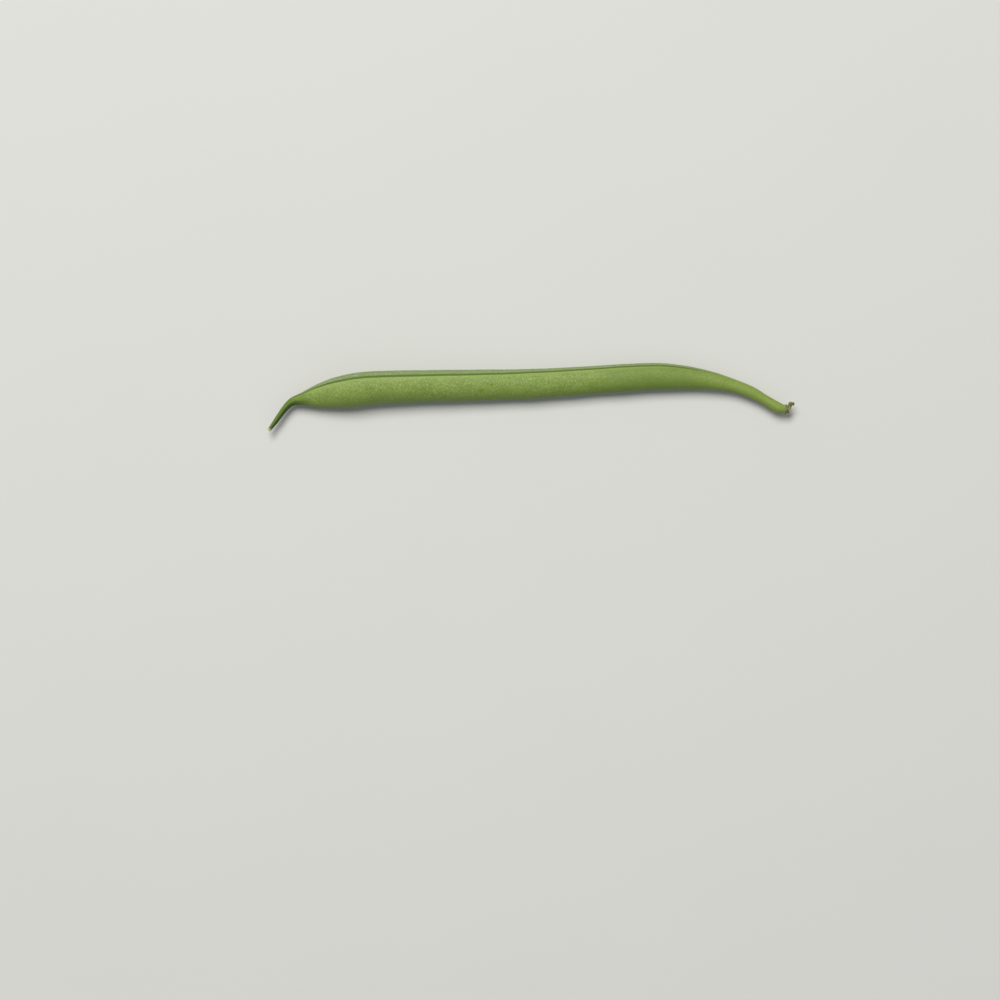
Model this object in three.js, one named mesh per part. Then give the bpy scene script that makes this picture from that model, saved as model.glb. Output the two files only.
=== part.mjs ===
// A green bean: one snap-bean pod lying on its side, with its beak at one end and, at the other, the calyx
// and the snapped-off end of the stalk that it grew on.
// Millimetres and degrees, +Z up, +X from the beak to the stalk. The origin is under the middle of its box.
import * as THREE from "three";

// The pod's middle line, from the tip of the beak to the end of the neck. x and y are its place in plan,
// half is half the height from seam to seam, roll is how far the upper seam turns up from the level, and
// lift is the air below the pod. A lift below nothing is flesh that its own weight presses flat.
const podLine = [
  { x: -75.1, y: -9.8, half: 0.5, roll: 5, lift: 3.0 },
  { x: -73.2, y: -7.2, half: 0.68, roll: 6, lift: 2.6 },
  { x: -70.55, y: -3.55, half: 0.88, roll: 8, lift: 2.2 },
  { x: -68.4, y: -1.6, half: 1.2, roll: 12, lift: 1.8 },
  { x: -65.2, y: -0.8, half: 1.98, roll: 17, lift: 1.1 },
  { x: -60.1, y: 0.1, half: 3.55, roll: 23, lift: 0.2 },
  { x: -54.0, y: 1.15, half: 4.62, roll: 27, lift: -0.1 },
  { x: -46.0, y: 2.2, half: 4.85, roll: 29, lift: -0.15 },
  { x: -32.0, y: 2.75, half: 4.6, roll: 29, lift: -0.15 },
  { x: -16.2, y: 3.05, half: 4.42, roll: 26, lift: -0.15 },
  { x: 0.0, y: 3.5, half: 4.18, roll: 20, lift: -0.15 },
  { x: 17.0, y: 4.5, half: 3.94, roll: 16, lift: -0.15 },
  { x: 33.0, y: 5.5, half: 3.83, roll: 15, lift: -0.05 },
  { x: 42.5, y: 5.35, half: 3.36, roll: 14, lift: 0.3 },
  { x: 50.5, y: 4.5, half: 2.56, roll: 13, lift: 0.8 },
  { x: 57.0, y: 3.1, half: 1.9, roll: 12, lift: 1.2 },
  { x: 62.4, y: 1.15, half: 1.67, roll: 11, lift: 1.5 },
  { x: 66.6, y: -1.15, half: 1.4, roll: 10, lift: 1.8 },
  { x: 70.2, y: -3.25, half: 1.45, roll: 10, lift: 1.9 },
  { x: 72.5, y: -3.75, half: 1.05, roll: 10, lift: 2.35 },
];
const ringsPerSpan = 4;

// Thickness over height, where the pod is slender and where it is full.
const slender = { half: 1.4, thickness: 1.0 };
const full = { half: 3.8, thickness: 0.84 };

// The outline of the two seams: the angle round the section and how far the surface rises there, on a pod
// with the given half height. The upper seam is a pale double lip between two grooves, the lower one a keel.
const seamHalf = 4.6;
const upperSeam = [
  { angle: 0, rise: 0.12 },
  { angle: 7, rise: 0.2 },
  { angle: 17, rise: 0.14 },
  { angle: 23.5, rise: -0.12 },
  { angle: 30, rise: 0 },
];
const lowerSeam = [
  { angle: 167, rise: 0 },
  { angle: 173, rise: -0.05 },
  { angle: 180, rise: 0.1 },
];
const flankPoints = 11;

// The seeds swell the flanks in turn, more on the side where each one hangs.
const seeds = { first: -50, spacing: 12.6, count: 8, halfLength: 4.2, rise: 0.14, lean: 0.5 };

// The calyx is a cup round the end of the neck, with a clearance to it. Its lobes reach back along the neck
// by their length, and the notches between them by less. Past the neck it goes on straight for the length of
// the cup, down to the radius of its shoulder, and narrows over as much again to the stalk.
const clearance = 0.14;
const calyx = { lobes: 5, turn: 54, length: 0.42, notch: 0.05, flare: 0.05, cup: 0.38, shoulder: 1.0 };
const calyxWall = { foot: 0.18, lip: 0.12 };
// The stalk turns aside at a bend, up to a knuckle, and away again to where it snapped. Each of these has its
// place in plan and its rise over the end of the neck. The stalk's rings face along its line as it runs over
// the easing before and after them.
const bend = { x: 73.5, y: -3.35, rise: 0.05 };
const knuckle = { x: 73.68, y: -2.2, rise: 0.3, past: 2.3, reach: 0.5, swell: 0.16 };
const stalk = { x: 74.5, y: -2.27, rise: 0.95, radius: 0.42, rings: 8, easing: 0.5 };
// The snapped end flares out round a rim and a pit. Its edge is torn in two waves of splinters.
const snapped = { length: 0.4, flare: 0.1, rim: 0.42, pit: 0.22, pitDepth: 0.4 };
const splinters = [
  { count: 3, length: 0.1, turn: 0 },
  { count: 7, length: 0.07, turn: 57 },
];
const stemPoints = 40;

const beanGreen = new THREE.MeshStandardMaterial({ color: 0x86a052, roughness: 0.55, metalness: 0 });
const stalkGreen = new THREE.MeshStandardMaterial({ color: 0x5c5a35, roughness: 0.8, metalness: 0 });

const radians = THREE.MathUtils.degToRad;

// The pod's thickness over its height.
function thicknessAt(half) {
  const share = THREE.MathUtils.smoothstep(half, slender.half, full.half);
  return THREE.MathUtils.lerp(slender.thickness, full.thickness, share);
}

// The height of a section's middle over its lowest point.
function depthBelow({ half, roll }) {
  return half * Math.hypot(Math.sin(radians(roll)), thicknessAt(half) * Math.cos(radians(roll)));
}

const podMiddle = new THREE.CatmullRomCurve3(
  podLine.map((p) => new THREE.Vector3(p.x, p.y, depthBelow(p) + p.lift)),
  false,
  "catmullrom",
);
const podGirth = new THREE.SplineCurve(podLine.map((p) => new THREE.Vector2(p.half, p.roll)));

// The directions across a run: level to its left, and square to both.
function across(run) {
  const side = new THREE.Vector3(0, 0, 1).cross(run).normalize();
  return { side, up: run.clone().cross(side) };
}

// The angles and rises round a section, once round from the upper seam.
function sectionOutline() {
  const from = upperSeam.at(-1).angle;
  const to = lowerSeam[0].angle;
  const flank = [];
  for (let k = 1; k < flankPoints; k++) {
    flank.push({ angle: from + ((to - from) * k) / flankPoints, rise: 0 });
  }
  const half = [...upperSeam, ...flank, ...lowerSeam];
  const back = half.slice(1, -1).reverse();
  return [...half, ...back.map(({ angle, rise }) => ({ angle: 360 - angle, rise }))];
}

// How far the seeds push the surface out at x, on the flank that an angle's sine faces.
function swelling(x, sine) {
  let rise = 0;
  for (let k = 0; k < seeds.count; k++) {
    const away = (x - seeds.first - seeds.spacing * k) / seeds.halfLength;
    const side = k % 2 === 0 ? 1 : -1;
    rise += Math.exp(-away * away) * (1 + seeds.lean * side * sine);
  }
  return rise * seeds.rise * Math.abs(sine);
}

function podRing(t, outline) {
  const middle = podMiddle.getPoint(t);
  const { x: half, y: roll } = podGirth.getPoint(t);
  const { side, up } = across(podMiddle.getTangent(t));
  const turn = radians(roll);
  const seamward = side.clone().multiplyScalar(Math.cos(turn)).addScaledVector(up, Math.sin(turn));
  const flankward = up.clone().multiplyScalar(Math.cos(turn)).addScaledVector(side, -Math.sin(turn));
  const thickness = thicknessAt(half);
  return outline.map(({ angle, rise }) => {
    const cosine = Math.cos(radians(angle));
    const sine = Math.sin(radians(angle));
    const outward = seamward.clone().multiplyScalar(cosine * thickness).addScaledVector(flankward, sine);
    const raised = (rise * half) / seamHalf + swelling(middle.x, sine);
    const point = middle.clone();
    point.addScaledVector(seamward, half * cosine).addScaledVector(flankward, half * thickness * sine);
    point.addScaledVector(outward.normalize(), raised);
    point.z = Math.max(point.z, 0);
    return point;
  });
}

// One closed solid from rings of points, each end closed by a fan about its middle.
function loft(rings) {
  const count = rings[0].length;
  const points = rings.flat();
  const faces = [];
  for (let r = 0; r < rings.length - 1; r++) {
    for (let k = 0; k < count; k++) {
      const a = r * count + k;
      const b = r * count + ((k + 1) % count);
      faces.push(a, b, a + count, b, b + count, a + count);
    }
  }
  for (const first of [0, points.length - count]) {
    const middle = new THREE.Vector3();
    points.slice(first, first + count).forEach((p) => middle.addScaledVector(p, 1 / count));
    points.push(middle);
    for (let k = 0; k < count; k++) {
      const pair = [first + k, first + ((k + 1) % count)];
      faces.push(points.length - 1, ...(first === 0 ? pair.reverse() : pair));
    }
  }
  const geometry = new THREE.BufferGeometry().setFromPoints(points);
  geometry.setIndex(faces);
  geometry.computeVertexNormals();
  return geometry;
}

function podGeometry() {
  const outline = sectionOutline();
  const steps = (podLine.length - 1) * ringsPerSpan;
  const rings = [];
  for (let r = 0; r <= steps; r++) {
    rings.push(podRing(r / steps, outline));
  }
  return loft(rings);
}

// Where the pod's curves are at a distance past the end of the neck; the pod reaches no further than its end.
function neckAt(past) {
  const [before, last] = podLine.slice(-2);
  const span = Math.hypot(last.x - before.x, last.y - before.y);
  return 1 + Math.min(past, 0) / (span * (podLine.length - 1));
}

// The stem's middle line: from back along the neck, under the lobes, to the snapped end.
function stemLine() {
  const end = podMiddle.getPoint(1);
  const run = podMiddle.getTangent(1);
  return new THREE.CatmullRomCurve3([
    podMiddle.getPoint(neckAt(-2 * calyx.length)),
    podMiddle.getPoint(neckAt(-calyx.length)),
    end,
    end.clone().addScaledVector(run, calyx.cup),
    ...[bend, knuckle, stalk].map(({ x, y, rise }) => new THREE.Vector3(x, y, end.z + rise)),
  ]);
}

// The place on a line at a distance from its start. Past its ends the line runs on straight.
function placeOn(line, distance) {
  const length = line.getLength();
  const at = THREE.MathUtils.clamp(distance / length, 0, 1);
  return line.getPointAt(at).addScaledVector(line.getTangentAt(at), distance - at * length);
}

function stemGeometry() {
  const line = stemLine();
  const start = -2 * calyx.length;
  const end = start + line.getLength();
  const neck = podLine.at(-1).half;
  const inner = (past) => podGirth.getPoint(neckAt(past)).x + clearance;
  const lip = (angle) => {
    const lobe = (1 + Math.cos(calyx.lobes * (angle - radians(calyx.turn)))) / 2;
    return -THREE.MathUtils.lerp(calyx.notch, calyx.length, lobe);
  };
  // The rings of the calyx are square to the neck, and those of the stalk to its line.
  const facing = (past) => {
    if (past <= calyx.cup) {
      return podMiddle.getTangent(neckAt(past));
    }
    const ahead = placeOn(line, past - start + stalk.easing);
    return ahead.sub(placeOn(line, past - start - stalk.easing)).normalize();
  };
  const torn = (angle) => {
    return splinters.reduce((sum, s) => sum + s.length * Math.sin(s.count * angle + radians(s.turn)), 0);
  };
  const stalkFrom = 2 * calyx.cup;
  const stalkTo = end - snapped.length;
  const stalkProfile = [];
  for (let k = 0; k < stalk.rings; k++) {
    const past = THREE.MathUtils.lerp(stalkFrom, stalkTo, k / (stalk.rings - 1));
    const swell = knuckle.swell * Math.exp(-(((past - knuckle.past) / knuckle.reach) ** 2));
    stalkProfile.push([() => past, () => stalk.radius + swell]);
  }
  // Each ring by its distance past the end of the neck and its radius, which change round the stalk.
  const profile = [
    [() => clearance, () => neck / 2],
    [() => clearance, () => inner(0)],
    [(angle) => lip(angle) / 2, (angle) => inner(lip(angle) / 2)],
    [lip, (angle) => inner(lip(angle)) + calyx.flare / 2],
    [lip, (angle) => inner(lip(angle)) + calyx.flare + calyxWall.lip],
    [(angle) => lip(angle) / 2, (angle) => inner(lip(angle) / 2) + calyxWall.foot],
    [() => clearance, () => inner(0) + calyxWall.foot / 2],
    [() => calyx.cup, () => calyx.shoulder],
    ...stalkProfile,
    [(angle) => end + torn(angle), () => stalk.radius + snapped.flare],
    [(angle) => end + torn(angle) / 2, () => snapped.rim],
    [() => end - snapped.pitDepth, () => snapped.pit],
  ];
  const rings = profile.map(([past, radius]) => {
    const ring = [];
    for (let k = 0; k < stemPoints; k++) {
      const angle = (2 * Math.PI * k) / stemPoints;
      const { side, up } = across(facing(past(angle)));
      const point = placeOn(line, past(angle) - start);
      point.addScaledVector(side, radius(angle) * Math.cos(angle));
      point.addScaledVector(up, radius(angle) * Math.sin(angle));
      ring.push(point);
    }
    return ring;
  });
  return loft(rings);
}

function named(name, geometry, material) {
  const mesh = new THREE.Mesh(geometry, material);
  mesh.name = name;
  return mesh;
}

const bean = new THREE.Group();
bean.add(named("pod", podGeometry(), beanGreen), named("stem", stemGeometry(), stalkGreen));
const middleOfBox = new THREE.Box3().setFromObject(bean).getCenter(new THREE.Vector3());
bean.position.set(-middleOfBox.x, -middleOfBox.y, 0);

export default bean;
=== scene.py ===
import math
import bpy
import numpy as np
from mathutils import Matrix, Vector, noise


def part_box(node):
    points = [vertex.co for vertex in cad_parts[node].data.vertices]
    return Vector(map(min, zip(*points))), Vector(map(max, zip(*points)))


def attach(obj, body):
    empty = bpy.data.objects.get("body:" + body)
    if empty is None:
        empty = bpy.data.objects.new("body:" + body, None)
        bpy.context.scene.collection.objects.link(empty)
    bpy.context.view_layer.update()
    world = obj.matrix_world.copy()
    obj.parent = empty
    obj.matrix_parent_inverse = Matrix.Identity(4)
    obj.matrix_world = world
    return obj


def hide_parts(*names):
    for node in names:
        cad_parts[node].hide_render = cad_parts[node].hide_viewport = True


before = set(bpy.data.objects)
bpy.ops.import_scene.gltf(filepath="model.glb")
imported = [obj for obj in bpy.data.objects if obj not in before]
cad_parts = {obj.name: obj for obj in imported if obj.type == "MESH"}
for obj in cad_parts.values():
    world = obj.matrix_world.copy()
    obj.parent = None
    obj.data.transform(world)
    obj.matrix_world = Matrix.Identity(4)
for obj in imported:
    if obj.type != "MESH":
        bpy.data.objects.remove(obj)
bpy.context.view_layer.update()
mm = 0.001
farOff = 9.0  # a mark's value where what it measures from is nowhere near
print("frame loaded:", sorted(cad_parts))


class Wire:
    # a node's output, so that formulas can be written with it as if it were a number
    def __init__(self, finish, socket):
        self.finish = finish
        self.socket = socket

    def calculate(self, operation, first, second):
        return self.finish.node("ShaderNodeMath", {"operation": operation}, {0: first, 1: second})

    def __add__(self, other):
        return self.calculate("ADD", self, other)

    def __radd__(self, other):
        return self.calculate("ADD", other, self)

    def __sub__(self, other):
        return self.calculate("SUBTRACT", self, other)

    def __rsub__(self, other):
        return self.calculate("SUBTRACT", other, self)

    def __mul__(self, other):
        return self.calculate("MULTIPLY", self, other)

    def __rmul__(self, other):
        return self.calculate("MULTIPLY", other, self)

    def __abs__(self):
        return self.calculate("ABSOLUTE", self, 0.0)


class Finish:
    # one material with its named colours, and the ways to add nodes to it
    def __init__(self, name, colours):
        self.colours = colours
        self.material = bpy.data.materials.new(name)
        self.material.use_nodes = True
        self.tree = self.material.node_tree
        self.tree.nodes.clear()

    def node(self, kind, settings, sockets, output=0):
        # a new node of that kind, fed at those sockets, as the one of its outputs that is wanted
        made = self.tree.nodes.new(kind)
        for key, value in settings.items():
            setattr(made, key, value)
        for key, value in sockets.items():
            if isinstance(value, Wire):
                self.tree.links.new(value.socket, made.inputs[key])
            else:
                made.inputs[key].default_value = value
        return Wire(self, made.outputs[output]) if made.outputs else None

    def mark(self, name, output="Fac"):
        # what the mesh carries at each vertex under that name
        return self.node("ShaderNodeAttribute", {"attribute_name": name}, {}, output)

    def ramp(self, value, low, high):
        # 0 at low and 1 at high, smooth between; low may be the larger
        return self.node("ShaderNodeMapRange", {"interpolation_type": "SMOOTHSTEP"},
                         {"Value": value, "From Min": low, "From Max": high})

    def band(self, value, middle, half, soft):
        # 1 within half of the middle, gone beyond soft more
        return self.ramp(abs(value - middle), half + soft, half)

    def mix(self, share, first, second):
        # the node's sockets for colours are its inputs 6 and 7 and its output 2
        return self.node("ShaderNodeMix", {"data_type": "RGBA"}, {0: share, 6: first, 7: second}, 2)

    def lay(self, colour, layer, value, where=1.0):
        # puts a layer on a colour: the layer's own colour, the values where it starts and is full,
        # and how much it covers there
        own, start, full, share = layer
        return self.mix(self.ramp(value, start, full) * (share * where), colour, self.colours[own])

    def stretch(self, place, by):
        return self.node("ShaderNodeVectorMath", {"operation": "MULTIPLY"}, {0: place, 1: by})

    def grain(self, place, size, detail):
        # soft noise about 0.5, in lumps of that size
        return self.node("ShaderNodeTexNoise", {}, {"Vector": place, "Scale": 1 / size, "Detail": detail})

    def spots(self, place, size):
        # the distance to the nearest of many scattered points that lie about that size apart
        return self.node("ShaderNodeTexVoronoi", {}, {"Vector": place, "Scale": 1 / size})

    def surface(self, sockets, bumps):
        # the shader, with its bumps laid one on the other as (height, distance in mm)
        normal = {}
        for height, distance in bumps:
            normal = {"Normal": self.node("ShaderNodeBump", {}, {
                "Height": height, "Distance": distance * mm, **normal})}
        shader = self.node("ShaderNodeBsdfPrincipled", {}, {**sockets, **normal})
        self.node("ShaderNodeOutputMaterial", {}, {"Surface": shader})
        return self.material


def shade(red, green, blue):
    # a colour by its screen values, 0 to 255, as the shader needs it
    return tuple(((c / 255 + 0.055) / 1.055) ** 2.4 for c in (red, green, blue)) + (1.0,)


def smooth(value, low, high):
    share = np.clip((value - low) / (high - low), 0, 1)
    return share * share * (3 - 2 * share)


def blend(first, second, share):
    return first + (second - first) * share


def spline(values, at, runsOn):
    # the smooth curve through evenly numbered values, and its slope
    # it runs on straight past both ends, or stops there
    values = np.array(values, float)
    before, after = values[0], values[-1]
    if runsOn:
        before, after = 2 * values[0] - values[1], 2 * values[-1] - values[-2]
    padded = np.concatenate([[before], values, [after]])
    place = np.clip(at, 0, 1) * (len(values) - 1)
    k = np.minimum(place.astype(int), len(values) - 2)
    w = (place - k)[:, None]
    a, b, c, d = (padded[k + step] for step in range(4))
    bend = 2 * a - 5 * b + 4 * c - d
    twist = 3 * (b - c) + d - a
    point = b + (w * (c - a) + w ** 2 * bend + w ** 3 * twist) / 2
    slope = (c - a) / 2 + w * bend + w ** 2 * twist * 1.5
    return point, slope


def distances(places):
    # how far each place is from the first, along the line through them
    return np.concatenate([[0], np.cumsum(np.linalg.norm(np.diff(places, axis=0), axis=1))])


def unit(vectors):
    return vectors / np.linalg.norm(vectors, axis=-1, keepdims=True)


def across(run):
    # the directions square to a run: level to its left, and up
    side = unit(np.cross((0.0, 0.0, 1.0), run))
    return side, np.cross(run, side)


def roughness(places, size):
    # noise from -1 to 1 at each place, in lumps of that size
    values = [noise.noise(Vector(p)) for p in (places / size).reshape(-1, 3)]
    return np.array(values).reshape(places.shape[:-1])


def loft(rings):
    # points and faces of a closed body through rings of points, each end closed about its middle
    total, count = rings.shape[:2]
    points = np.concatenate([rings.reshape(-1, 3), [rings[0].mean(0), rings[-1].mean(0)]])
    faces = []
    for r in range(total - 1):
        for k in range(count):
            a, b = r * count + k, r * count + (k + 1) % count
            faces.append((a, b, b + count, a + count))
    last = (total - 1) * count
    for k in range(count):
        faces.append((total * count, (k + 1) % count, k))
        faces.append((total * count + 1, last + k, last + (k + 1) % count))
    return points, faces


def ringMarks(values):
    # marks for a loft's vertices, with those of its two end points
    return np.concatenate([values.reshape(-1, *values.shape[2:]), [values[0].mean(0), values[-1].mean(0)]])


def joined(bodies):
    # one mesh from one or more closed bodies, each given as its rings and their marks
    points, faces, marks = [], [], {}
    for rings, bodyMarks in bodies:
        start = sum(len(p) for p in points)
        bodyPoints, bodyFaces = loft(rings)
        points.append(bodyPoints)
        faces += [tuple(start + k for k in face) for face in bodyFaces]
        for name, values in bodyMarks.items():
            marks.setdefault(name, []).append(ringMarks(values))
    return np.concatenate(points), faces, {name: np.concatenate(parts) for name, parts in marks.items()}


def makePiece(name, points, faces, marks, material):
    mesh = bpy.data.meshes.new(name)
    mesh.from_pydata(points * mm, [], faces)
    mesh.polygons.foreach_set("use_smooth", [True] * len(faces))
    for mark, values in marks.items():
        isPlace = values.ndim == 2
        attribute = mesh.attributes.new(mark, "FLOAT_VECTOR" if isPlace else "FLOAT", "POINT")
        attribute.data.foreach_set("vector" if isPlace else "value", values.astype(np.float32).ravel())
    mesh.materials.append(material)
    piece = bpy.data.objects.new(name, mesh)
    bpy.context.scene.collection.objects.link(piece)
    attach(piece, "root")
    print(name, "made:", len(points), "points")
    return piece


# the pod, in mm and degrees
pod = {
    # from the tip of the beak to the neck: x, y, half the height from seam to seam, how far the upper seam
    # turns up, and the air below
    "line": [
        (-75.1, -9.8, 0.5, 5, 3.0), (-73.2, -7.2, 0.68, 6, 2.6), (-70.55, -3.55, 0.88, 8, 2.2),
        (-68.4, -1.6, 1.2, 12, 1.8), (-65.2, -0.8, 1.98, 17, 1.1), (-60.1, 0.1, 3.55, 23, 0.2),
        (-54.0, 1.15, 4.62, 27, -0.1), (-46.0, 2.2, 4.85, 29, -0.15), (-32.0, 2.75, 4.6, 29, -0.15),
        (-16.2, 3.05, 4.42, 26, -0.15), (0.0, 3.5, 4.18, 20, -0.15), (17.0, 4.5, 3.94, 16, -0.15),
        (33.0, 5.5, 3.83, 15, -0.05), (42.5, 5.35, 3.36, 14, 0.3), (50.5, 4.5, 2.56, 13, 0.8),
        (57.0, 3.1, 1.9, 12, 1.2), (62.4, 1.15, 1.67, 11, 1.5), (66.6, -1.15, 1.4, 10, 1.8),
        (70.2, -3.25, 1.45, 10, 1.9), (72.5, -3.75, 1.05, 10, 2.35),
    ],
    # thickness over height, where the pod is slender and where it is full
    "slender": {"half": 1.4, "thickness": 1.0},
    "full": {"half": 3.8, "thickness": 0.84},
    # the angle from the upper seam and how far the surface rises there, on a pod of the given half height
    "seams": [(0, 0.1), (1.6, 0.16), (7, 0.2), (17, 0.14), (23.5, -0.12), (30, 0),
              (167, 0), (173, -0.05), (180, 0.1)],
    "seamHalf": 4.6,
    "seeds": {"first": -50, "spacing": 12.6, "count": 8, "halfLength": 4.2, "rise": 0.14, "lean": 0.5},
    # slow waves and fine puckers, less where the half height is under the given one
    "waves": {"size": (9.0, 9.0, 9.0), "rise": 0.07, "fullFrom": 1},
    "puckers": {"size": (0.62, 1.5, 1.5), "rise": 0.02, "fullFrom": 2},
    # x, y and radius
    "bruises": [(-14.4, 1.2, 0.75), (-11.5, 3.1, 0.6), (-15.9, 0.15, 0.65), (-24.9, -0.1, 0.7),
                (-58.3, 1.2, 0.25)],
    # the rings' spacing, and how many steps the line is measured in
    "ringStep": 0.2, "lineSteps": 6000,
    # points round one side of a ring, as how many there are up to each angle
    "anglesTo": [(31, 25), (164, 24), (180, 7)],
}


def thicknessAt(half):
    slender, full = pod["slender"], pod["full"]
    return blend(slender["thickness"], full["thickness"], smooth(half, slender["half"], full["half"]))


def podMiddle(at):
    line = np.array(pod["line"])
    half, turn, lift = line[:, 2], np.radians(line[:, 3]), line[:, 4]
    below = half * np.hypot(np.sin(turn), thicknessAt(half) * np.cos(turn))
    return spline(np.column_stack([line[:, :2], below + lift]), at, True)


def podGirth(at):
    return spline(np.array(pod["line"])[:, 2:4], at, False)[0].T


def evenSteps():
    # places along the pod's line that are a ring step apart, and how far each is from the tip of the beak
    fine = np.linspace(0, 1, pod["lineSteps"])
    along = distances(podMiddle(fine)[0])
    wanted = np.linspace(0, along[-1], round(along[-1] / pod["ringStep"]))
    return np.interp(wanted, along, fine), wanted


def anglesRound():
    half = np.zeros(1)
    for to, count in pod["anglesTo"]:
        half = np.concatenate([half, np.linspace(half[-1], to, count + 1)[1:]])
    return np.concatenate([half, 360 - half[-2:0:-1]])


def seamRise(fromSeam):
    angle, rise = np.array(pod["seams"]).T
    k = np.clip(np.searchsorted(angle, fromSeam, side="right") - 1, 0, len(angle) - 2)
    return blend(rise[k], rise[k + 1], smooth(fromSeam, angle[k], angle[k + 1]))


def seedSwelling(x, sine):
    # the seeds push out one flank and then the other
    seeds = pod["seeds"]
    rise = np.zeros((len(x), len(sine)))
    for k in range(seeds["count"]):
        away = (x - seeds["first"] - seeds["spacing"] * k) / seeds["halfLength"]
        side = 1 if k % 2 == 0 else -1
        rise += np.outer(np.exp(-away ** 2), 1 + seeds["lean"] * side * sine)
    return rise * seeds["rise"] * abs(sine)


def bruiseMark(rings, grown, onUpperFlank):
    # the distance from the nearest bruise, in radii of it
    nearest = np.full(grown.shape[:2], farOff)
    for x, y, radius in pod["bruises"]:
        apart = np.hypot(rings[..., 0] - x, rings[..., 1] - y)
        middle = grown.reshape(-1, 3)[np.where(onUpperFlank, apart, np.inf).argmin()]
        nearest = np.minimum(nearest, np.linalg.norm(grown - middle, axis=-1) / radius)
    return nearest


def podRings():
    at, along = evenSteps()
    middle, slope = podMiddle(at)
    half, roll = podGirth(at)
    side, up = across(unit(slope))
    turn = np.radians(roll)[:, None]
    seamward = side * np.cos(turn) + up * np.sin(turn)
    flankward = up * np.cos(turn) - side * np.sin(turn)
    angles = anglesRound()
    cosine, sine = np.cos(np.radians(angles)), np.sin(np.radians(angles))
    fromSeam = np.minimum(angles, 360 - angles)
    thickness = thicknessAt(half)
    high, wide = np.outer(half, cosine), np.outer(half * thickness, sine)
    # places on the pod as if it were straight: along, seamward and flankward
    grown = np.stack([np.repeat(along[:, None], len(angles), 1), high, wide], -1)
    rise = np.outer(half / pod["seamHalf"], seamRise(fromSeam)) + seedSwelling(middle[:, 0], sine)
    for lumps in (pod["waves"], pod["puckers"]):
        share = np.minimum(half / lumps["fullFrom"], 1)[:, None]
        rise += lumps["rise"] * share * roughness(grown, np.array(lumps["size"]))
    rings = middle[:, None] + seamward[:, None] * high[..., None] + flankward[:, None] * wide[..., None]
    outward = seamward[:, None] * (cosine * thickness[:, None])[..., None]
    outward = unit(outward + flankward[:, None] * sine[:, None])
    rings += outward * rise[..., None]
    rings[..., 2] = np.maximum(rings[..., 2], 0)  # its own weight presses it flat
    marks = {"grown": grown, "fromSeam": np.repeat(fromSeam[None], len(at), 0),
             "toNeck": np.repeat((along[-1] - along)[:, None], len(angles), 1),
             "fromBruise": bruiseMark(rings, grown, wide > 0)}
    return rings, marks


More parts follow.
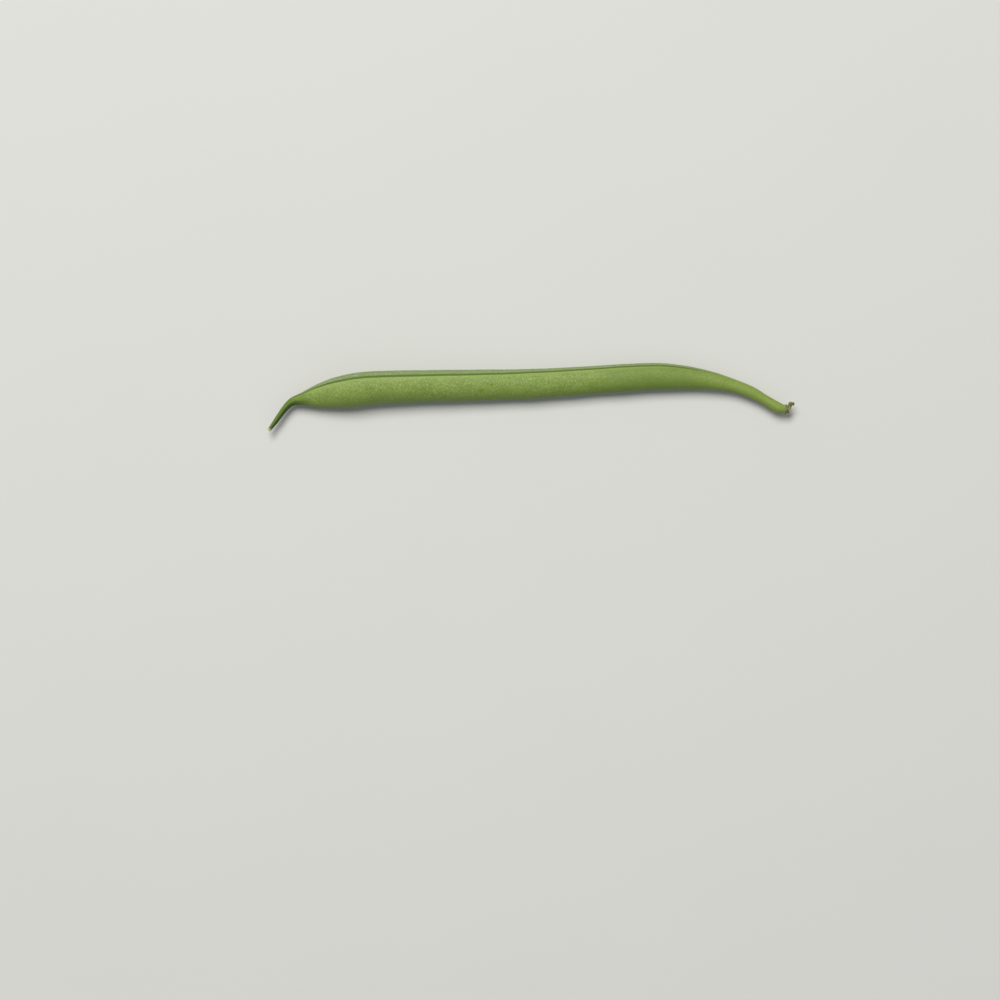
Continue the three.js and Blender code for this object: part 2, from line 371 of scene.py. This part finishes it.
# the pod's skin, in mm and degrees from the upper seam
skin = {
    "colours": {
        "flank": shade(123, 144, 62), "deep": shade(92, 117, 36), "pale": shade(160, 173, 122),
        # the shoulder colour is a painted highlight for the upper flank
        # the under colour is painted shade for the lower flank
        "under": shade(98, 123, 28), "dim": shade(96, 120, 44), "shoulder": shade(142, 162, 88),
        "neck": shade(120, 140, 58), "bloom": shade(110, 130, 74), "frost": shade(152, 166, 138),
        # the beak's darkest colour is painted shade for its lower side
        # the groove colour is partly the groove's own deeper green and partly painted shade
        "groove": shade(74, 98, 20), "beak": shade(84, 110, 6), "beakShadedSide": shade(38, 60, 0),
        "tip": shade(182, 174, 142), "rust": shade(138, 96, 52), "scab": shade(160, 136, 90),
        "spot": shade(100, 125, 14),
    },
    # grains: a size and a detail, and for some of them a stretch along and across the pod
    "specks": (0.2, 2.0), "specksStretch": (1.0, 0.45, 0.45),
    "blotches": (2.6, 3.0), "blotchesStretch": (0.6, 1.0, 1.0),
    "fine": (0.16, 2.0), "patches": (0.4, 3.0),
    # layers: a colour, the values where it starts and is full, and how much it covers there
    "blotch": ("deep", 0.38, 0.66, 0.4), "paleSpeck": ("pale", 0.5, 0.72, 0.7),
    # the lower flank's layer is painted shade, darker towards the lower seam
    "deepSpeck": ("deep", 0.5, 0.3, 0.8), "lowFlankShade": ("under", 75.0, 150.0, 0.75),
    "neck": ("neck", 34.0, 8.0, 0.75), "frost": ("frost", 0.48, 0.66, 0.7),
    # the layer for the beak's lower side is painted shade
    "beak": ("beak", 18.0, 8.0, 0.92), "beakShadedSide": ("beakShadedSide", 60.0, 105.0, 0.9),
    "dryTip": ("tip", 1.3, 0.7, 1.0), "dryRust": ("rust", 0.5, 0.6, 1.0),
    "speckle": ("spot", 0.075, 0.045, 0.6), "bruise": ("spot", 1.6, 0.7, 0.9),
    "pits": ("rust", 0.17, 0.1, 0.55),
    # bands: a middle, half a width, and how far the edge fades
    # the groove's band, its fade along and its cover lay the groove's deeper green, partly painted shade
    "dimBand": (120.0, 8.0, 14.0), "grooveShadeBand": (23.5, 3.0, 3.5),
    "scabRound": (168.0, 6.0, 48.0), "scabAlong": (1.9, 0.1, 1.3),
    # fades: the values at none and at full
    # the shoulder's fades place a painted highlight on the upper flank
    "shoulderLightRound": (48.0, 27.5), "shoulderLightAlong": (20.0, 50.0), "bandRound": (21.5, 17.5),
    "bandAlong": (10.0, 40.0), "grooveShadeAlong": (14.0, 36.0), "crease": (1.8, 0.4), "keel": (176.5, 179.0),
    "scabEdge": (1.38, 1.6), "scabRust": (0.4, 0.6), "pitsRound": (22.0, 12.0), "pitsAlong": (20.0, 14.0),
    # how much a grain moves an edge
    "dimWander": 12.0, "dryWander": 0.8, "bruiseWander": 0.8, "scabWander": {"patches": 1.5, "fine": 0.4},
    # how much covers: a share, and what a grain adds
    # the shoulder's cover is how much painted highlight is laid
    "shoulderLightCover": (0.35, 0.5), "grooveShadeCover": (0.8, 0.3), "scabCover": (0.35, 0.9),
    "dimCover": 0.5, "bandCover": 0.85, "creaseCover": 0.35,
    # how far apart small marks lie, and a stretch along and across the pod
    "speckleApart": 7.0, "pitsApart": 1.1, "pitsStretch": (0.7, 1.0, 1.0),
    "roughness": {"least": 0.5, "fine": 0.16, "band": 0.1},
    "bumps": {"specks": 0.06, "fine": 0.03},
    "shader": {
        "Specular IOR Level": 0.35,
        "Subsurface Weight": 0.12, "Subsurface Radius": (0.7, 1.0, 0.35), "Subsurface Scale": 1.2 * mm,
        "Sheen Weight": 0.12, "Sheen Roughness": 0.45, "Sheen Tint": shade(225, 232, 215),
    },
}


def podSkin():
    f = Finish("podSkin", skin["colours"])
    grown, fromSeam, toNeck = f.mark("grown", "Vector"), f.mark("fromSeam"), f.mark("toNeck")
    fromBeak = f.node("ShaderNodeSeparateXYZ", {}, {0: grown})

    def cover(name, grain):
        share, more = skin[name]
        return share + grain * more

    specks = f.grain(f.stretch(grown, skin["specksStretch"]), *skin["specks"])
    blotches = f.grain(f.stretch(grown, skin["blotchesStretch"]), *skin["blotches"])
    fine, patches = f.grain(grown, *skin["fine"]), f.grain(grown, *skin["patches"])
    colour = f.lay(skin["colours"]["flank"], skin["blotch"], blotches)
    colour = f.lay(colour, skin["paleSpeck"], specks)
    colour = f.lay(colour, skin["deepSpeck"], specks)
    # painted shade: the flank darkens towards the lower seam on both its sides
    colour = f.lay(colour, skin["lowFlankShade"], fromSeam)
    dim = f.band(fromBeak + blotches * skin["dimWander"], *skin["dimBand"])
    colour = f.mix(dim * skin["dimCover"], colour, skin["colours"]["dim"])
    # painted highlight: the upper flank just under the groove is painted lighter, fading out near the neck
    shoulder = f.ramp(fromSeam, *skin["shoulderLightRound"]) * f.ramp(toNeck, *skin["shoulderLightAlong"])
    colour = f.mix(shoulder * cover("shoulderLightCover", specks), colour, skin["colours"]["shoulder"])
    colour = f.lay(colour, skin["neck"], toNeck)
    # the seam: a bloomed band between two grooves, with a crease along its middle; the grooves' darker
    # green is partly their own colour and partly painted shade
    band = f.ramp(fromSeam, *skin["bandRound"]) * f.ramp(toNeck, *skin["bandAlong"])
    colour = f.mix(band * skin["bandCover"], colour, skin["colours"]["bloom"])
    colour = f.lay(colour, skin["frost"], specks, band)
    groove = f.band(fromSeam, *skin["grooveShadeBand"]) * f.ramp(toNeck, *skin["grooveShadeAlong"])
    colour = f.mix(groove * cover("grooveShadeCover", fine), colour, skin["colours"]["groove"])
    creases = f.ramp(fromSeam, *skin["crease"]) + f.ramp(fromSeam, *skin["keel"])
    colour = f.mix(creases * skin["creaseCover"], colour, skin["colours"]["groove"])
    # the beak: deeper green, with painted shade on its lower side, and a dry pale tip
    colour = f.lay(colour, skin["beak"], fromBeak)
    isBeak = f.ramp(fromBeak, *skin["beak"][1:3])
    colour = f.lay(colour, skin["beakShadedSide"], fromSeam, isBeak)
    dry = fromBeak + specks * skin["dryWander"]
    colour = f.lay(colour, skin["dryTip"], dry)
    colour = f.lay(colour, skin["dryRust"], fine, f.ramp(dry, *skin["dryTip"][1:3]))
    # small marks, the bruises, the scab by the calyx, and rusty pits on the last of the seam
    colour = f.lay(colour, skin["speckle"], f.spots(grown, skin["speckleApart"]))
    colour = f.lay(colour, skin["bruise"], f.mark("fromBruise") + fine * skin["bruiseWander"])
    wander = skin["scabWander"]
    scab = f.band(fromSeam, *skin["scabRound"]) * f.band(toNeck, *skin["scabAlong"])
    scab = f.ramp(scab + patches * wander["patches"] + fine * wander["fine"], *skin["scabEdge"])
    scabbed = f.mix(f.ramp(patches, *skin["scabRust"]), skin["colours"]["scab"], skin["colours"]["rust"])
    colour = f.mix(scab * cover("scabCover", fine), colour, scabbed)
    pits = f.spots(f.stretch(grown, skin["pitsStretch"]), skin["pitsApart"])
    onSeam = f.ramp(fromSeam, *skin["pitsRound"]) * f.ramp(toNeck, *skin["pitsAlong"])
    colour = f.lay(colour, skin["pits"], pits, onSeam)
    rough = skin["roughness"]
    rough = rough["least"] + rough["fine"] * fine + rough["band"] * band
    return f.surface({"Base Color": colour, "Roughness": rough, **skin["shader"]},
                     [(specks, skin["bumps"]["specks"]), (fine, skin["bumps"]["fine"])])


rings, marks = podRings()
low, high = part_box("pod")
middle = (rings.min((0, 1)) + rings.max((0, 1))) / 2
shift = np.array([(low.x + high.x) / 2 / mm - middle[0], (low.y + high.y) / 2 / mm - middle[1], 0.0])
points, faces, marks = joined([(rings + shift, marks)])
podPiece = makePiece("pod_skin", points, faces, marks, podSkin())
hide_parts("pod")


# the calyx and the stalk, in mm and degrees
stem = {
    # the points round a ring, and how many steps the line is measured in
    "points": 200, "lineSteps": 3000,
    # the line's places back along the neck, and then its bend, knuckle and end, as x, y and the rise above
    # the neck
    "back": (0.84, 0.42, 0.0),
    "bends": [(73.5, -3.35, 0.05), (73.68, -2.2, 0.3), (74.5, -2.27, 0.95)],
    "easing": 0.5,  # how far ahead and back a ring looks for its direction
    # each lobe: its turn round the neck, its length back along it, and how far its tip stands off
    # the first two show from above
    "lobes": [(54, 0.46, 0.05), (126, 0.4, 0.03), (198, 0.2, 0.04), (270, 0.36, 0.03), (342, 0.42, 0.12)],
    "blunt": {"tip": 2.6, "sides": 0.8}, "ragged": [(0.06, 0.16), (0.03, 0.06)],  # rise and size
    # where the notches between lobes end, and the least height of the cup's wall
    "notch": -0.26, "least": 0.03,
    # the cup that the lobes stand on: how far past the neck it reaches, its radius, and the stalk's radius
    # where it leaves the cup
    "cup": 0.38, "cupRadius": 1.3, "shoulder": 1.05, "cupRows": 21, "crumple": (0.03, 0.3),
    # its floor, and how thick its wall is at the foot and at the tips, with the share left at the very lip
    "floor": {"past": 0.06, "widths": (0.4, 0.85)}, "foot": 0.15, "tip": 0.06, "lip": 0.7,
    # the stalk: its radius, where it is down to that, and how near its rings come to the cup and to the end
    "stalk": 0.42, "slimBy": 0.76, "stalkRows": 60, "stalkFrom": 0.03, "stalkTo": 0.08,
    "ribs": 6, "ribRise": 0.05,
    # it swells at the knuckle, and flares over its last stretch
    "knucklePast": 2.3, "reach": 0.5, "swell": 0.16, "flare": 0.12, "flareFrom": 0.4,
    "wrinkles": [(0.05, 1.5, 0.35), (0.025, 2.0, 0.1)],  # rise, change along the stalk, and size
    "tears": [(3, 0.06, 0), (7, 0.04, 57), (17, 0.025, 20)],  # count, length and turn
    # from the rim of the snapped end into its pit: the share of the tears, the depth, the width and the
    # value of the mark fromEnd
    "snapped": [(1.0, 0.0, 1.0, 0.0), (0.9, 0.02, 0.9, -0.05), (0.5, 0.08, 0.74, -0.12),
                (0.0, 0.192, 0.595, -0.25), (0.0, 0.32, 0.45, -0.4), (0.0, 0.256, 0.15, -0.4)],
    "scab": (73.2, -3.4), "scabTall": 1.6,  # its middle, and its height over its width
}


def stemPath():
    # a function for the stem's middle at any distance past the neck, and how far past it the stem reaches
    lastTwo = np.array(pod["line"])[-2:, :2]
    span = np.linalg.norm(lastTwo[1] - lastTwo[0]) * (len(pod["line"]) - 1)
    back = [podMiddle(np.array([1 - gap / span]))[0][0] for gap in stem["back"]]
    onward = unit(podMiddle(np.array([1.0]))[1][0]) * stem["cup"]
    bends = [np.array([x, y, back[-1][2] + rise]) for x, y, rise in stem["bends"]]
    line = back + [back[-1] + onward] + bends
    fine = np.linspace(0, 1, stem["lineSteps"])
    places, slopes = spline(line, fine, True)
    along = distances(places)
    atNeck = np.interp((len(back) - 1) / (len(line) - 1), fine, along)

    def placeAt(past):
        distance = atNeck + past
        wanted = np.clip(distance, 0, along[-1])
        middle = np.stack([np.interp(wanted, along, places[:, k]) for k in range(3)], -1)
        slope = np.where((distance < wanted)[..., None], slopes[0], slopes[-1])
        return middle + unit(slope) * (distance - wanted)[..., None]

    return placeAt, along[-1] - atNeck


def ringRuns(placeAt, past):
    # the directions that the rings are square to: the calyx's keep to the neck, and the stalk's turn with a
    # stretch of the line, so that they don't fold where it bends
    farther = past + stem["easing"]
    onStalk = smooth(past, stem["cup"], stem["slimBy"])
    ahead = placeAt(blend(np.minimum(farther, stem["cup"]), farther, onStalk))
    return unit(ahead - placeAt(past - stem["easing"]))


def roundPoints(turns):
    # a ring of radius 1, where the stem's roughness is looked up
    angle = np.radians(turns)
    return np.column_stack([np.cos(angle), np.sin(angle), np.zeros(len(turns))])


def lobeShape(turns):
    # at the angles round the neck: a lobe's length, how far it stands off, and how far its side edge is
    length, standOff, fromSide = (np.zeros(len(turns)) for _ in range(3))
    for turn, reach, off in stem["lobes"]:
        apart = np.abs((turns - turn + 180) % 360 - 180) * len(stem["lobes"]) / 180
        inside = apart <= 1
        blunt = np.clip(1 - apart ** stem["blunt"]["tip"], 0, 1) ** stem["blunt"]["sides"]
        length[inside] = (stem["notch"] + (reach - stem["notch"]) * blunt)[inside]
        standOff[inside] = (off * blunt)[inside]
        fromSide[inside] = ((1 - apart) * math.pi / len(stem["lobes"]) * stem["cupRadius"])[inside]
    length += sum(rise * roughness(roundPoints(turns), size) for rise, size in stem["ragged"])
    return np.maximum(length + stem["cup"], stem["least"]), standOff, fromSide


def ringRow(past, radius, fromEdge=farOff, fromEnd=farOff):
    # one ring: how far past the neck, its radius, and how far from a lobe's edge and from the snapped end
    return [np.broadcast_to(value, stem["points"]) for value in (past, radius, fromEdge, fromEnd)]


def cupRows(turns):
    # over the floor, up the inside to the tips of the lobes and down the outside
    length, standOff, fromSide = lobeShape(turns)
    neck, floor = pod["line"][-1][2], stem["floor"]
    rise, size = stem["crumple"]
    outer, inner = [], []
    for share in np.linspace(0, 1, stem["cupRows"]):
        past = stem["cup"] - length * share
        bulge = np.sin(np.clip((stem["cup"] - past) / stem["cup"], 0, 1) * math.pi / 2)
        radius = blend(stem["shoulder"], stem["cupRadius"], bulge) + standOff * share ** 2
        radius = radius + rise * bulge * roughness(roundPoints(turns) + [0, 0, share], size)
        edge = np.minimum(length * (1 - share), fromSide)
        thick = blend(stem["foot"], stem["tip"], share) * (1 if share < 1 else stem["lip"])
        outer.append(ringRow(past, radius, edge))
        inner.append(ringRow(np.minimum(past, floor["past"]), radius - thick, edge))
    return [ringRow(floor["past"], neck * width) for width in floor["widths"]] + inner + outer[::-1]


def ribbedRadius(turns):
    return stem["stalk"] * (1 + stem["ribRise"] * np.cos(np.radians(turns) * stem["ribs"]))


def stalkRows(turns, total):
    # from the cup past the knuckle to the snapped end
    rows = []
    for past in np.linspace(stem["cup"] + stem["stalkFrom"], total - stem["stalkTo"], stem["stalkRows"]):
        swell = stem["swell"] * math.exp(-((past - stem["knucklePast"]) / stem["reach"]) ** 2)
        radius = blend(stem["shoulder"], ribbedRadius(turns), smooth(past, stem["cup"], stem["slimBy"]))
        radius = radius + swell + stem["flare"] * smooth(past, total - stem["flareFrom"], total)
        for rise, change, size in stem["wrinkles"]:
            radius = radius + rise * roughness(roundPoints(turns) + [0, 0, past * change], size)
        rows.append(ringRow(past, radius, fromEnd=total - past))
    return rows


def snappedRows(turns, total):
    # over the torn rim and down into the pit
    torn = sum(rise * np.sin(np.radians(turns * count + turn)) for count, rise, turn in stem["tears"])
    wide = ribbedRadius(turns) + stem["flare"]
    return [ringRow(total + torn * tears - depth, wide * width, fromEnd=mark)
            for tears, depth, width, mark in stem["snapped"]]


def stemRings():
    placeAt, total = stemPath()
    turns = np.arange(stem["points"]) * 360 / stem["points"]
    rows = cupRows(turns) + stalkRows(turns, total) + snappedRows(turns, total)
    past, radius, fromEdge, fromEnd = np.array(rows).transpose(1, 0, 2)
    side, up = across(ringRuns(placeAt, past))
    cosine, sine = roundPoints(turns)[:, :2].T
    rings = placeAt(past) + (side * cosine[:, None] + up * sine[:, None]) * radius[..., None]
    farSide = np.repeat(cosine[None], len(rows), 0)  # from 1 on the left of the line to -1 on its right
    scabX, scabY = stem["scab"]
    fromScab = np.hypot(rings[..., 0] - scabX, (rings[..., 1] - scabY) / stem["scabTall"])
    return rings, {"past": past, "fromEdge": fromEdge, "fromEnd": fromEnd, "farSide": farSide,
                   "fromScab": fromScab, "papery": np.zeros(past.shape)}


# the dry scales under the calyx, in mm
scales = {
    "places": [
        {"root": (72.7, -4.3, 3.0), "tip": (73.75, -5.1, 2.8), "half": 0.36},
        {"root": (72.9, -3.9, 3.5), "tip": (74.35, -4.6, 3.2), "half": 0.34},
    ],
    "rings": 16, "points": 16, "halfThick": 0.03, "arch": 0.15, "cupped": 0.35,
    "crumple": (0.12, 0.2),  # rise and size
    # the blade's outline: its width at the root, how soon it is widest, and how it closes at the tip
    "atRoot": 0.5, "widest": 0.7, "closing": {"late": 3, "blunt": 1.03, "round": 0.6},
}


def scaleRings(scale):
    # one thin pointed blade from its root in the calyx, cupped and a little crumpled
    root, tip = np.array(scale["root"]), np.array(scale["tip"])
    share = np.linspace(0, 1, scales["rings"])
    side, up = across(unit(tip - root))
    turns = np.radians(np.arange(scales["points"]) * 360 / scales["points"])
    closing = scales["closing"]
    swelling = scales["atRoot"] + (1 - scales["atRoot"]) * np.sin(math.pi * share ** scales["widest"])
    half = scale["half"] * swelling * (closing["blunt"] - share ** closing["late"]) ** closing["round"]
    middle = root + (tip - root) * share[:, None] + up * (scales["arch"] * np.sin(math.pi * share))[:, None]
    wide = np.outer(half, np.cos(turns))
    thick = np.outer(np.full(scales["rings"], scales["halfThick"]), np.sin(turns))
    high = thick + scales["cupped"] * wide ** 2 / scale["half"]
    rings = middle[:, None] + side * wide[..., None] + up * high[..., None]
    rise, size = scales["crumple"]
    rings += up * (rise * roughness(rings, size))[..., None]
    far = np.full(wide.shape, farOff)
    return rings, {"past": far, "fromEdge": far, "fromEnd": far, "farSide": far, "fromScab": far,
                   "papery": np.ones(wide.shape)}


# the finish of the calyx, the stalk and the scales, in mm
dried = {
    "colours": {
        "green": shade(106, 124, 72), "dark": shade(80, 94, 56), "rust": shade(140, 124, 80),
        "husk": shade(156, 142, 100), "core": shade(96, 108, 68), "papery": shade(154, 155, 124),
    },
    "coarse": (0.35, 3.0), "fine": (0.09, 3.0),  # size and detail
    # layers: a colour, the values where it starts and is full, and how much it covers there
    # the dark green is laid as a random mottle by the coarse grain
    "darkMottle": ("dark", 0.4, 0.62, 1.0), "huskOnRust": ("husk", 0.42, 0.66, 1.0),
    "core": ("core", -0.08, -0.16, 1.0), "huskOnPaper": ("husk", 0.45, 0.75, 0.7),
    # where it is worn: the distances at none and at full, and how much the coarse grain moves them
    "edge": (0.2, 0.08), "edgeWander": 0.4, "scab": (0.52, 0.4), "scabWander": 0.4,
    "cap": (0.26, 0.12), "capWander": 0.5, "farSide": (0.6, 0.9), "farAlong": (2.3, 0.45, 0.2),
    "paperCover": (0.6, 0.4), "roughness": (0.72, 0.2), "specular": 0.25,
    "bumps": {"coarse": 0.06, "fine": 0.03},
}


def stemFinish():
    f = Finish("driedStem", dried["colours"])
    place = f.node("ShaderNodeTexCoord", {}, {}, "Object")
    past, fromEdge, fromEnd = f.mark("past"), f.mark("fromEdge"), f.mark("fromEnd")
    coarse, fine = (f.grain(place, size * mm, detail) for size, detail in (dried["coarse"], dried["fine"]))
    uneven = coarse - 0.5
    green = f.lay(dried["colours"]["green"], dried["darkMottle"], coarse)
    edge = f.ramp(fromEdge + uneven * dried["edgeWander"], *dried["edge"])
    scab = f.ramp(f.mark("fromScab") + uneven * dried["scabWander"], *dried["scab"])
    cap = f.ramp(fromEnd + uneven * dried["capWander"], *dried["cap"])
    farCap = f.ramp(f.mark("farSide") + uneven, *dried["farSide"]) * f.band(past, *dried["farAlong"])
    worn = f.node("ShaderNodeMath", {"operation": "ADD", "use_clamp": True},
                  {0: edge + scab, 1: cap + farCap})
    colour = f.mix(worn, green, f.lay(dried["colours"]["rust"], dried["huskOnRust"], fine))
    colour = f.lay(colour, dried["core"], fromEnd)
    share, more = dried["paperCover"]
    papery = f.lay(dried["colours"]["papery"], dried["huskOnPaper"], coarse)
    colour = f.mix(f.mark("papery") * (share + fine * more), colour, papery)
    least, more = dried["roughness"]
    return f.surface(
        {"Base Color": colour, "Roughness": least + fine * more, "Specular IOR Level": dried["specular"]},
        [(coarse, dried["bumps"]["coarse"]), (fine, dried["bumps"]["fine"])])


points, faces, marks = joined([stemRings()] + [scaleRings(scale) for scale in scales["places"]])
stemPiece = makePiece("calyx_and_stalk", points + shift, faces, marks, stemFinish())
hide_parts("stem")


# the floor, the light and the camera, in mm: the camera looks straight down, and its picture is frameWidth
# across at frameHeight
studio = {
    "frameWidth": 285.0, "frameHeight": 4.2, "middle": (-8.85, -29.31), "lens": 85.0, "clipStart": 10.0,
    "floorRadius": 4000.0, "floorSides": 96, "floorDrop": 0.05,
    "floorColours": {"pale": shade(201, 201, 198), "cloud": shade(194, 194, 191)},
    "cloudSize": 50.0, "cloudDetail": 3.0, "cloudShare": 0.2, "floorRoughness": 0.9, "floorSpecular": 0.1,
    "sky": shade(233, 238, 240), "skyStrength": 0.3,
    "lamps": [
        {"name": "window", "at": (-300, 750, 1550), "size": 950, "watts": 34.4, "tint": (1.0, 0.985, 0.95)},
        {"name": "fill", "at": (650, -950, 1050), "size": 1250, "watts": 1.9, "tint": (0.93, 0.97, 1.0)},
    ],
}


def floorFinish():
    colours = studio["floorColours"]
    f = Finish("paleBoard", colours)
    place = f.node("ShaderNodeTexCoord", {}, {}, "Object")
    cloud = f.grain(place, studio["cloudSize"] * mm, studio["cloudDetail"])
    colour = f.mix(cloud * studio["cloudShare"], colours["pale"], colours["cloud"])
    return f.surface({"Base Color": colour, "Roughness": studio["floorRoughness"],
                      "Specular IOR Level": studio["floorSpecular"]}, [])


def makeFloor():
    sides, reach = studio["floorSides"], studio["floorRadius"] * mm
    rim = [2 * math.pi * k / sides for k in range(sides)]
    mesh = bpy.data.meshes.new("floor")
    mesh.from_pydata([(math.cos(a) * reach, math.sin(a) * reach, -studio["floorDrop"] * mm) for a in rim],
                     [], [tuple(range(sides))])
    mesh.materials.append(floorFinish())
    floor = bpy.data.objects.new("floor", mesh)
    bpy.context.scene.collection.objects.link(floor)


def makeLight():
    world = bpy.data.worlds.new("softSky")
    world.use_nodes = True
    sky = world.node_tree.nodes["Background"]
    sky.inputs["Color"].default_value = studio["sky"]
    sky.inputs["Strength"].default_value = studio["skyStrength"]
    bpy.context.scene.world = world
    for lamp in studio["lamps"]:
        light = bpy.data.lights.new(lamp["name"], "AREA")
        light.size = lamp["size"] * mm
        light.energy = lamp["watts"]
        light.color = lamp["tint"]
        holder = bpy.data.objects.new(lamp["name"], light)
        holder.location = Vector(lamp["at"]) * mm
        holder.rotation_euler = (-holder.location).to_track_quat("-Z", "Y").to_euler()
        bpy.context.scene.collection.objects.link(holder)


def makeCamera():
    camera = bpy.data.cameras.new("camera")
    camera.lens = studio["lens"]
    camera.clip_start = studio["clipStart"] * mm
    holder = bpy.data.objects.new("camera", camera)
    distance = studio["frameWidth"] * studio["lens"] / camera.sensor_width
    holder.location = Vector((*studio["middle"], studio["frameHeight"] + distance)) * mm
    bpy.context.scene.collection.objects.link(holder)
    bpy.context.scene.camera = holder


makeFloor()
makeLight()
makeCamera()
bpy.context.scene.view_settings.view_transform = "Standard"
print("stage set")
